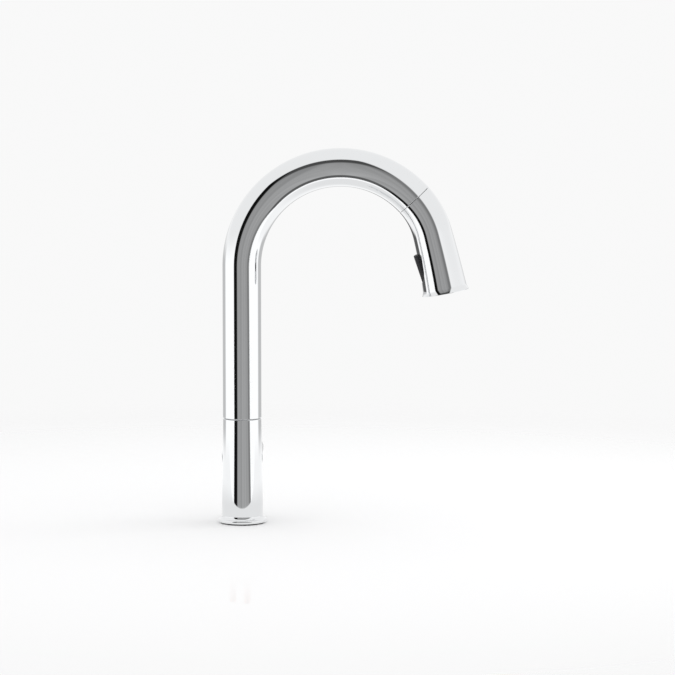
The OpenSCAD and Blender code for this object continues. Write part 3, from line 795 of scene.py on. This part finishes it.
def head_shell():
    """Shell with the flared lip; the grid's points beside the toggle's opening are moved onto its outline."""
    count = 240
    local = head_frame(TOGGLE_AT).inverted()
    lip_from = HEAD_LEN - LIP_H
    rim = 0.35
    spread = 8.0  # how far from the opening the inner surface is shifted
    stations = [rim + 0.3 + (lip_from - rim - 0.3) * i / 130 for i in range(131)]
    stations += [lip_from + (LIP_H - 0.55) * i / 14 for i in range(1, 15)]

    def outer(s, angle):
        r = head_radius(s) + flare(s)
        a = head_angle(s)
        p = head_point(s)
        return Vector((p.x - r * math.cos(angle) * math.cos(a), r * math.sin(angle),
                       p.z - r * math.cos(angle) * math.sin(a)))

    def inner(s, angle):
        """The inner surface, spread beside the toggle's opening so that the opening's walls are parallel."""
        r = head_radius(s) - HEAD_WALL
        near = 1 - min(max(gap(s, angle), 0) / spread, 1)
        if near > 0:
            turn = math.remainder(angle, TAU)
            level = math.asin(max(-0.98, min(0.98, math.sin(turn) * (r + HEAD_WALL) / r)))
            angle = turn + (level - turn) * near
        a = head_angle(s)
        p = head_point(s)
        return Vector((p.x - r * math.cos(angle) * math.cos(a), r * math.sin(angle),
                       p.z - r * math.cos(angle) * math.sin(a)))

    def gap(s, angle):
        q = local @ outer(s, angle)
        if q.x < 0:
            return 50.0
        return outline_distance(q.z, q.y, 0.45)

    grid = {}
    cell = 0.5
    for i, s in enumerate(stations):
        for k in range(count):
            angle = TAU * k / count
            u, v = s, angle
            if abs(gap(u, v)) < cell:
                for _ in range(6):
                    d = gap(u, v)
                    du = (gap(u + 0.02, v) - d) / 0.02
                    dv = (gap(u, v + 0.001) - d) / (0.001 * TUBE_R)
                    size = du * du + dv * dv
                    if size < 1e-6:
                        break
                    u -= d * du / size
                    v -= d * dv / size / TUBE_R
            grid[i, k] = (u, v)
    rows = len(stations)
    points, index = [], {}
    for (i, k), (u, v) in grid.items():
        index["out", i, k] = len(points)
        points.append(outer(u, v))
        index["in", i, k] = len(points)
        points.append(inner(u, v))
    faces, edges = [], {}
    for i in range(rows - 1):
        for k in range(count):
            m = (k + 1) % count
            corners = [(i, k), (i, m), (i + 1, m), (i + 1, k)]
            us = [grid[c] for c in corners]
            centre_s = sum(u for u, _ in us) / 4
            vs = [v for _, v in us]
            if max(vs) - min(vs) > 3:
                vs = [v + TAU if v < 3 else v for v in vs]
            if gap(centre_s, sum(vs) / 4) < 0:
                continue
            faces.append(tuple(index[("out",) + c] for c in corners))
            faces.append(tuple(index[("in",) + c] for c in reversed(corners)))
            for a, b in zip(corners, corners[1:] + corners[:1]):
                edges[a, b] = edges.get((a, b), 0) + 1
    for (a, b) in list(edges):
        if (b, a) in edges:
            continue
        on_end = (a[0] == b[0]) and a[0] in (0, rows - 1)
        if not on_end:
            faces.append((index[("out",) + b], index[("out",) + a], index[("in",) + a], index[("in",) + b]))
    # rounded rim at the seam
    def ring_at(s, r):
        a, p = head_angle(s), head_point(s)
        return [Vector((p.x - r * math.cos(TAU * k / count) * math.cos(a), r * math.sin(TAU * k / count),
                        p.z - r * math.cos(TAU * k / count) * math.sin(a))) for k in range(count)]

    def join(first, last, chain):
        """Rings of new points between the shell's outer and inner ends."""
        previous = [index["out", first, k] for k in range(count)]
        for ring in chain:
            now = []
            for p in ring:
                now.append(len(points))
                points.append(p)
            for k in range(count):
                m = (k + 1) % count
                faces.append((previous[k], previous[m], now[m], now[k]))
            previous = now
        inner_end = [index["in", last, k] for k in range(count)]
        for k in range(count):
            m = (k + 1) % count
            faces.append((previous[k], previous[m], inner_end[m], inner_end[k]))

    s0 = rim
    join(0, 0, [ring_at(s0 + 0.3 * (1 - math.sin(a)), TUBE_R - 0.3 + 0.3 * math.cos(a))
                for a in (math.radians(x) for x in (0, 22, 45, 68, 90))]
         + [ring_at(s0, TUBE_R - HEAD_WALL)])
    end = HEAD_LEN
    r_end = head_radius(end) + flare(end)
    chain = []
    for x in (0, 20, 40, 60, 75, 90):
        a = math.radians(x)
        chain.append(ring_at(end - 0.55 + 0.55 * math.sin(a), r_end - 0.55 + 0.55 * math.cos(a)))
    chain.append(ring_at(end, head_radius(end) - HEAD_WALL + 0.3))
    chain.append(ring_at(end - 0.3, head_radius(end) - HEAD_WALL))
    join(rows - 1, rows - 1, chain)
    shell = mesh_object("head_shell_chrome", points, faces, "head_shell")
    sharp_edges(shell, 50)


def sharp_edges(piece, degrees):
    """Marks the edges between faces that meet at more than this angle as sharp."""
    bm = bmesh.new()
    bm.from_mesh(piece.data)
    for edge in bm.edges:
        if len(edge.link_faces) == 2 and edge.calc_face_angle(0) > math.radians(degrees):
            edge.smooth = False
    bm.to_mesh(piece.data)
    bm.free()


def spray_toggle():
    """Rocker pad: its crowned top follows the CAD's tilted cylinder, and its edges are rounded."""
    matrix = head_frame(TOGGLE_AT)
    surface = head_radius(TOGGLE_AT)
    slope = math.atan(TOGGLE_PROUD / TOGGLE_LEN)
    crown_r = surface + TOGGLE_PROUD / 2
    swing = TOGGLE_LEN / 2 - 0.2
    axis_x = surface - 1.2
    edge = 0.9
    outline = toggle_outline(0.0, 40)
    half = TOGGLE_W / 2
    low = TOGGLE_LEN / 2 - half

    def height(a, y):
        return (math.sqrt(crown_r ** 2 - y * y) - a * math.sin(slope)) / math.cos(slope)

    def inside_swing(p):
        """Pulls a point's place along the toggle inside the circle it sweeps as it rocks."""
        limit = math.sqrt((swing - 0.12) ** 2 - (p.x - axis_x) ** 2)
        return Vector((p.x, p.y, min(max(p.z, -limit), limit)))

    def middle(p):
        return Vector((min(max(p.x, -TOGGLE_LEN / 2 + half), low), 0))

    rings = []
    under = surface - 4.2
    inset = 0.25
    trimmed = []
    for p in outline:
        c = middle(p)
        q = c + (p - c) * (1 - inset / max((p - c).length, 1e-6))
        trimmed.append(q)
    rings.append([Vector((under + 0.2, c.y * 0.97, c.x * 0.98)) for c in trimmed])
    rings.append([Vector((under + 0.4, q.y, q.x)) for q in trimmed])
    tops = [height(q.x, q.y) - edge for q in trimmed]
    for t in (0.3, 0.6, 0.98):
        rings.append([Vector((under + 0.4 + (h - under - 0.4) * t, q.y, q.x)) for q, h in zip(trimmed, tops)])
    for k in range(0, 9):
        a = (math.pi / 2) * k / 8
        ring = []
        for q in trimmed:
            c = middle(q)
            reach = max((q - c).length, 1e-6)
            w = 1 - edge * (1 - math.cos(a)) / reach
            b = c + (q - c) * w
            ring.append(Vector((height(b.x, b.y) - edge * (1 - math.sin(a)), b.y, b.x)))
        rings.append(ring)
    for k in range(1, 13):
        w0 = 1 - k / 12
        ring = []
        for q in trimmed:
            c = middle(q)
            reach = max((q - c).length, 1e-6)
            w = (1 - edge / reach) * w0
            b = c + (q - c) * w
            ring.append(Vector((height(b.x, b.y), b.y, b.x)))
        rings.append(ring)
    rings = [[matrix @ inside_swing(p) for p in ring] for ring in rings]
    points, faces = strip(rings)
    count = len(outline)
    bottom = matrix @ Vector((under + 0.2, 0, 0))
    cap(points, faces, 0, count, bottom, True)
    mesh_object("spray_toggle_pad", points, faces, "spray_toggle")


FACE = head_frame(HEAD_LEN)


def face_parts():
    """Housing ring, dished spray plate and rubber nozzles."""
    plate_r = FACE_R
    outline = [(8.1, -1.15), (8.6, -0.95), (9.2, -0.9), (15, -1.0), (FACE_R - 1.8, -1.05), (FACE_R - 0.8, -0.98),
               (plate_r - 0.25, -1.05), (plate_r, -1.3), (plate_r, -2.55), (8.1, -2.55)]
    lathe("spray_plate", outline, FACE, 160, "spray_face")
    nozzle = [(1e-5, -2.7), (0.93, -2.7), (0.93, -1.0), (0.80, -0.45), (0.66, -0.22), (0.5, -0.2), (0.4, -0.3),
              (0.38, -0.9), (1e-5, -0.9)]
    points, faces = [], []
    for number, radius in ((24, FACE_R - 3.5), (18, FACE_R - 7.2)):
        for k in range(number):
            a = TAU * k / number
            spot = FACE @ Matrix.Translation((radius * math.cos(a), radius * math.sin(a), 0))
            rings = [[spot @ Vector((r * math.cos(TAU * m / 16), r * math.sin(TAU * m / 16), z))
                      for m in range(16)] for r, z in nozzle]
            new_points, new_faces = strip(rings)
            offset = len(points)
            points += new_points
            faces += [tuple(i + offset for i in f) for f in new_faces]
    back = [(10.1, -3.5), (FACE_R - 2, -3.5), (FACE_R - 2, -2.75), (10.1, -2.75)]
    rings = [[FACE @ Vector((r * math.cos(TAU * m / 96), r * math.sin(TAU * m / 96), z)) for m in range(96)]
             for r, z in back]
    new_points, new_faces = strip(rings, closed_strip=True)
    offset = len(points)
    points += new_points
    faces += [tuple(i + offset for i in f) for f in new_faces]
    mesh_object("spray_nozzle_mat", points, faces, "spray_nozzles")


def aerator():
    outline = soften([(6.7, -0.65), (7.85, -0.65), (7.85, -7.9), (1e-5, -7.9)], [0.25, 0.25, 0.1, 0], 4)
    inside = [Vector((1e-5, -2.4)), Vector((6.5, -2.4)), Vector((6.6, -2.2))]
    ring_outline = [Vector(p) for p in outline] + inside
    lathe("aerator_cup", ring_outline, FACE, 96, "aerator")
    points, faces = [], []
    cell, wall = 1.7, 0.16
    for row in range(-4, 5):
        for column in range(-4, 5):
            x = cell * (column + 0.5 * (row % 2))
            y = cell * row * math.sqrt(3) / 2
            if math.hypot(x, y) > 6.5 - cell * 0.55:
                continue
            rings = []
            for r, z in ((cell * 0.56, -2.35), (cell * 0.56, -1.3), (cell * 0.56 - wall * 2, -1.3),
                         (cell * 0.56 - wall * 2, -2.35)):
                rings.append([FACE @ Vector((x + r * math.cos(TAU * (m + 0.5) / 6),
                                             y + r * math.sin(TAU * (m + 0.5) / 6), z)) for m in range(6)])
            new_points, new_faces = strip(rings, closed_strip=True)
            offset = len(points)
            points += new_points
            faces += [tuple(i + offset for i in f) for f in new_faces]
    mesh_object("aerator_screen", points, faces, None, "sprayhead", "white_plastic", smooth=False)


def docking_plug():
    matrix = place(DOCK, DOCK_AXIS, INNER)
    corners = [(4.95, -13.9), (10.9, -13.9), (11.65, -12.6), (11.65, -9.4), (11.05, -9.0), (11.05, -6.6),
               (11.65, -6.2), (11.65, 1.2), (17.9, 1.2), (17.9, 6.4), (4.95, 6.4)]
    lathe("docking_plug_black", soften(corners, 0.25, 3), matrix, 96, "docking_plug")


base_flange()
body_column()
handle_boss()
bonnet_dome()
deck_gasket()
thrust_ring()
threaded_shank()
handle_hub()
handle_lever()
spout_tube()
pull_down_hose()
head_shell()
spray_toggle()
face_parts()
aerator()
docking_plug()


# ---------------------------------------------------------------- stage, light and camera

FLOOR_ALBEDO = 0.80
SEEN = 0.945      # backdrop as the camera sees it
TABLE_GLOW = 0.93      # painted reflection of the table near the faucet: a glow that only mirrored rays see, dimmed there as painted shade
TABLE_GLOW_FAR = 1.12  # and farther out
AMBIENT = 1.21    # light that falls on the table
WHITE = 1.24      # white walls of the studio
HIGH = 1.0        # its ceiling
BACK = 0.62       # wall behind the faucet
CARD_GLOW = 0.37       # glow of the grey card in front of it, which only mirrored rays see: painted reflection
CARD_AT = 0.8     # metres from the faucet to the card


def stage_floor():
    """Pale table: white near the faucet, dissolving into the backdrop. Mirrored rays see a glow instead, a painted
    reflection of the table that is dimmer near the faucet as painted shade; its front edge is near in reflections.
    """
    size = 1.6
    bpy.ops.mesh.primitive_grid_add(x_subdivisions=4, y_subdivisions=4, size=2 * size,
                                    location=(0, 0, -0.0001))
    floor = bpy.context.object
    floor.name = "table_top"
    material = bpy.data.materials.new("table_white")
    material.use_nodes = True
    g = Graph(material.node_tree)
    out = g.node("ShaderNodeOutputMaterial")
    white = g.node("ShaderNodeBsdfDiffuse")
    white.inputs["Color"].default_value = (FLOOR_ALBEDO, FLOOR_ALBEDO, FLOOR_ALBEDO * 1.004, 1)
    clear = g.node("ShaderNodeBsdfTransparent")
    split = g.node("ShaderNodeSeparateXYZ")
    g.link(g.coords(), split.inputs[0])
    x, y = split.outputs["X"], split.outputs["Y"]
    far = g.math("SQRT", g.math("ADD", g.math("MULTIPLY", x, x), g.math("MULTIPLY", y, y)))
    seen = g.ramp(far, 0.30, 1.1, 1.0, 0.0)
    mirrored = g.math("MULTIPLY", g.ramp(y, -0.158, -0.145), g.ramp(far, 0.55, 0.95, 1.0, 0.0))
    # painted reflection: mirrored rays see a glow in place of the lit table, dimmer near the faucet as painted
    # shade
    table_glow = g.node("ShaderNodeEmission")
    g.link(g.ramp(far, 0.15, 0.40, TABLE_GLOW, TABLE_GLOW_FAR), table_glow.inputs["Strength"])
    rays = g.node("ShaderNodeLightPath")
    to_eye = g.fade(seen, clear, white)
    to_mirror = g.fade(mirrored, clear, table_glow)
    mix = g.fade(rays.outputs["Is Glossy Ray"], to_eye, to_mirror)
    g.link(mix.outputs[0], out.inputs["Surface"])
    floor.data.materials.append(material)


def painted_reflection_card():
    """Grey card in front, with a black left margin and a leaning right edge; it glows and only mirrored rays see
    it, so it is a painted reflection, brighter towards the bottom, with streaks, a darker leaning band and dark
    bands at top and bottom.
    """
    near, far = -1.2, 1.5
    mesh = bpy.data.meshes.new("painted_reflection_card")
    corners = [(near, -CARD_AT, near), (far, -CARD_AT, near), (far, -CARD_AT, far), (near, -CARD_AT, far)]
    mesh.from_pydata(corners, [], [(0, 1, 2, 3)])
    card = bpy.data.objects.new("painted_reflection_card", mesh)
    bpy.context.scene.collection.objects.link(card)
    material = bpy.data.materials.new("painted_reflection_card_glow")
    material.use_nodes = True
    g = Graph(material.node_tree)
    out = g.node("ShaderNodeOutputMaterial")
    split = g.node("ShaderNodeSeparateXYZ")
    g.link(g.coords(), split.inputs[0])
    x, z = split.outputs["X"], split.outputs["Z"]
    lean = g.math("MULTIPLY_ADD", z, 0.45, x)
    # the card's glow is painted reflection throughout: streaks across it, brighter towards the bottom, a darker
    # leaning band, dark bands at top and bottom and a black left margin
    streaks = g.node("ShaderNodeTexNoise")
    streaks.noise_dimensions = "1D"
    streaks.inputs["Scale"].default_value = 6.0
    streaks.inputs["Detail"].default_value = 2.0
    g.link(x, streaks.inputs["W"])
    streak = g.ramp(streaks.outputs["Fac"], 0.3, 0.7, CARD_GLOW * 0.9, CARD_GLOW * 1.1)
    level = g.math("MULTIPLY", streak, g.ramp(z, -0.5, 0.9, 1.25, 0.82, smooth=False))
    level = blend_value(g, g.window(lean, 0.62, 0.86, 0.10), level, CARD_GLOW * 0.6)
    level = blend_value(g, g.window(z, 0.84, 1.4, 0.08), level, 0.075)
    level = blend_value(g, g.ramp(z, -0.5, -0.35, 1.0, 0.0), level, 0.12)
    level = blend_value(g, g.window(x, -1.2, -0.40, 0.05), level, 0.006)
    sides = g.math("MULTIPLY", g.ramp(x, -0.90, -0.80), g.ramp(lean, 0.82, 0.96, 1.0, 0.0))
    ends = g.math("MULTIPLY", g.ramp(z, -1.16, -0.95), g.ramp(z, 1.2, 1.36, 1.0, 0.0))
    rays = g.node("ShaderNodeLightPath")
    shown = g.math("MULTIPLY", rays.outputs["Is Glossy Ray"], g.math("MULTIPLY", sides, ends))
    glow = g.node("ShaderNodeEmission")
    g.link(level, glow.inputs["Strength"])
    mix = g.fade(shown, g.node("ShaderNodeBsdfTransparent"), glow)
    g.link(mix.outputs[0], out.inputs["Surface"])
    mesh.materials.append(material)


def studio():
    """White studio round the faucet, a little darker behind it."""
    world = bpy.data.worlds.new("studio")
    bpy.context.scene.world = world
    world.use_nodes = True
    g = Graph(world.node_tree)
    out = g.node("ShaderNodeOutputWorld")
    source = g.node("ShaderNodeTexCoord")
    split = g.node("ShaderNodeSeparateXYZ")
    g.link(source.outputs["Generated"], split.inputs[0])
    x, y, z = split.outputs
    around = g.math("MULTIPLY", g.math("ARCTAN2", x, g.math("MULTIPLY", y, -1.0)), 180 / math.pi)
    up = g.math("MULTIPLY", g.math("ARCSINE", z), 180 / math.pi)
    level = g.ramp(up, -3.0, 14.0, WHITE, HIGH)
    behind = g.ramp(g.math("ABSOLUTE", around), 108.0, 122.0)
    back = g.math("MULTIPLY", behind, g.ramp(up, -3.0, 9.0, 1.0, 0.0))
    level = blend_value(g, back, level, BACK)
    skirting = g.math("MULTIPLY", g.window(around, -175.0, -116.0, 3.0), g.window(up, -27.0, -8.2, 1.2))
    level = blend_value(g, skirting, level, 0.12)
    rays = g.node("ShaderNodeLightPath")
    level = blend_value(g, rays.outputs["Is Diffuse Ray"], level, AMBIENT)
    level = blend_value(g, rays.outputs["Is Camera Ray"], level, SEEN)
    shade = g.node("ShaderNodeBackground")
    shade.inputs["Color"].default_value = (1, 1, 1, 1)
    g.link(level, shade.inputs["Strength"])
    g.link(shade.outputs[0], out.inputs["Surface"])


def blend_value(g, factor, a, b):
    made = g.node("ShaderNodeMix", data_type="FLOAT")
    g.put(made.inputs[0], factor)
    g.put(made.inputs[2], a)
    g.put(made.inputs[3], b)
    return made.outputs[0]


def soft_light():
    """One broad lamp from the right, which lays the faint shadow to the left of the base."""
    data = bpy.data.lights.new("soft_box", "AREA")
    data.shape = "RECTANGLE"
    data.size, data.size_y = 0.9, 0.9
    data.energy = 4.0
    lamp = bpy.data.objects.new("soft_box", data)
    bpy.context.scene.collection.objects.link(lamp)
    lamp.location = (1.5, 0.35, 0.9)
    direction = Vector((0.05, 0, 0.05)) - lamp.location
    lamp.rotation_euler = direction.to_track_quat("-Z", "Y").to_euler()
    lamp.visible_glossy = False


def camera():
    """Long lens at the photograph's angle, a little above level."""
    data = bpy.data.cameras.new("camera")
    eye = bpy.data.objects.new("camera", data)
    bpy.context.scene.collection.objects.link(eye)
    distance = 3.2
    rise = math.radians(5.5)
    width = 0.7088
    aim = Vector((0.1003, 0, 0.1960))
    back = Vector((0, -math.cos(rise), math.sin(rise)))
    eye.location = aim + back * distance
    eye.rotation_euler = (-back).to_track_quat("-Z", "Y").to_euler()
    data.sensor_width = 36
    data.lens = 36 * distance / width
    data.clip_start, data.clip_end = 0.1, 30
    bpy.context.scene.camera = eye


bpy.context.scene.view_settings.view_transform = "Standard"
stage_floor()
painted_reflection_card()
studio()
soft_light()
camera()
